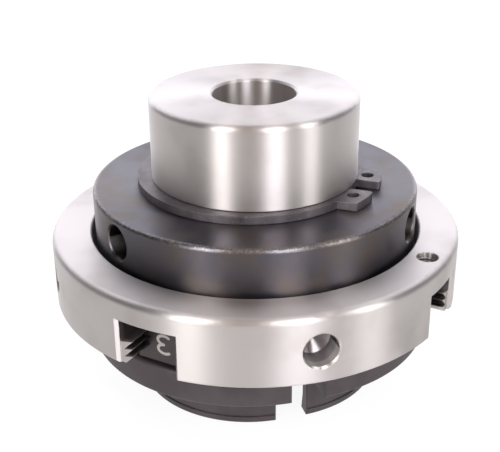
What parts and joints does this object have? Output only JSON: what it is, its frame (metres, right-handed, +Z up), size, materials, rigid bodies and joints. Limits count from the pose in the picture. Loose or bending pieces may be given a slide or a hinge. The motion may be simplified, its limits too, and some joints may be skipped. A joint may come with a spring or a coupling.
{
  "type": "self-centring scroll chuck",
  "caption": "Self-centring scroll chuck with slotted body, plain hub, lever-driven scroll ring, retaining ring and quarter-segment jaws on numbered slides.",
  "frame": {"origin": "centre of the base: on the bore axis, in the plane of the jaw noses it stands on", "axes": "+Z up along the bore, from the jaw noses to the hub's end face; +X along jaw 4, +Y along jaw 1"},
  "size_m": [0.1, 0.1, 0.0726],
  "materials": {
    "turned_steel": "turned and polished",
    "blued_steel": "blued, semi-gloss",
    "phosphated_spring_steel": "phosphated, matte",
    "hardened_steel": "hardened, dark satin",
    "phosphated_steel": "phosphated, matte brown-black",
    "black_oxide_screw": "black oxide"
  },
  "bodies": {
    "chassis": {"body": "turned_steel", "rim": "turned_steel", "hub": "turned_steel", "retaining_circlip": "phosphated_spring_steel", "jaw_stop_screw": "black_oxide_screw"},
    "scroll": {"scroll_ring": "blued_steel", "scroll_thread": "blued_steel"},
    "jaw_1": {"jaw_slide_1": "hardened_steel", "top_jaw_1": "phosphated_steel", "jaw_screw_outer_1": "black_oxide_screw", "jaw_screw_inner_1": "black_oxide_screw"},
    "jaw_2": {"jaw_slide_2": "hardened_steel", "top_jaw_2": "phosphated_steel", "jaw_screw_outer_2": "black_oxide_screw", "jaw_screw_inner_2": "black_oxide_screw"},
    "jaw_3": {"jaw_slide_3": "hardened_steel", "top_jaw_3": "phosphated_steel", "jaw_screw_outer_3": "black_oxide_screw", "jaw_screw_inner_3": "black_oxide_screw"},
    "jaw_4": {"jaw_slide_4": "hardened_steel", "top_jaw_4": "phosphated_steel", "jaw_screw_outer_4": "black_oxide_screw", "jaw_screw_inner_4": "black_oxide_screw"}
  },
  "joints": [
    {"name": "scroll_turn", "type": "hinge", "parent": "chassis", "child": "scroll", "pos_m": [0, 0, 0.0412], "axis": [0, 0, 1], "range_deg": [-404, 557]},
    {"name": "jaw_1_travel", "type": "slide", "parent": "chassis", "child": "jaw_1", "axis": [0, 1, 0], "range_m": [-0.0045, 0.0062]},
    {"name": "jaw_2_travel", "type": "slide", "parent": "chassis", "child": "jaw_2", "axis": [-1, 0, 0], "range_m": [-0.0045, 0.0062]},
    {"name": "jaw_3_travel", "type": "slide", "parent": "chassis", "child": "jaw_3", "axis": [0, -1, 0], "range_m": [-0.0045, 0.0062]},
    {"name": "jaw_4_travel", "type": "slide", "parent": "chassis", "child": "jaw_4", "axis": [1, 0, 0], "range_m": [-0.0045, 0.0062]}
  ],
  "couplings": [
    {"joint": "jaw_1_travel", "follows": "scroll_turn", "m_per_rad": 0.00063662},
    {"joint": "jaw_2_travel", "follows": "scroll_turn", "m_per_rad": 0.00063662},
    {"joint": "jaw_3_travel", "follows": "scroll_turn", "m_per_rad": 0.00063662},
    {"joint": "jaw_4_travel", "follows": "scroll_turn", "m_per_rad": 0.00063662}
  ]
}
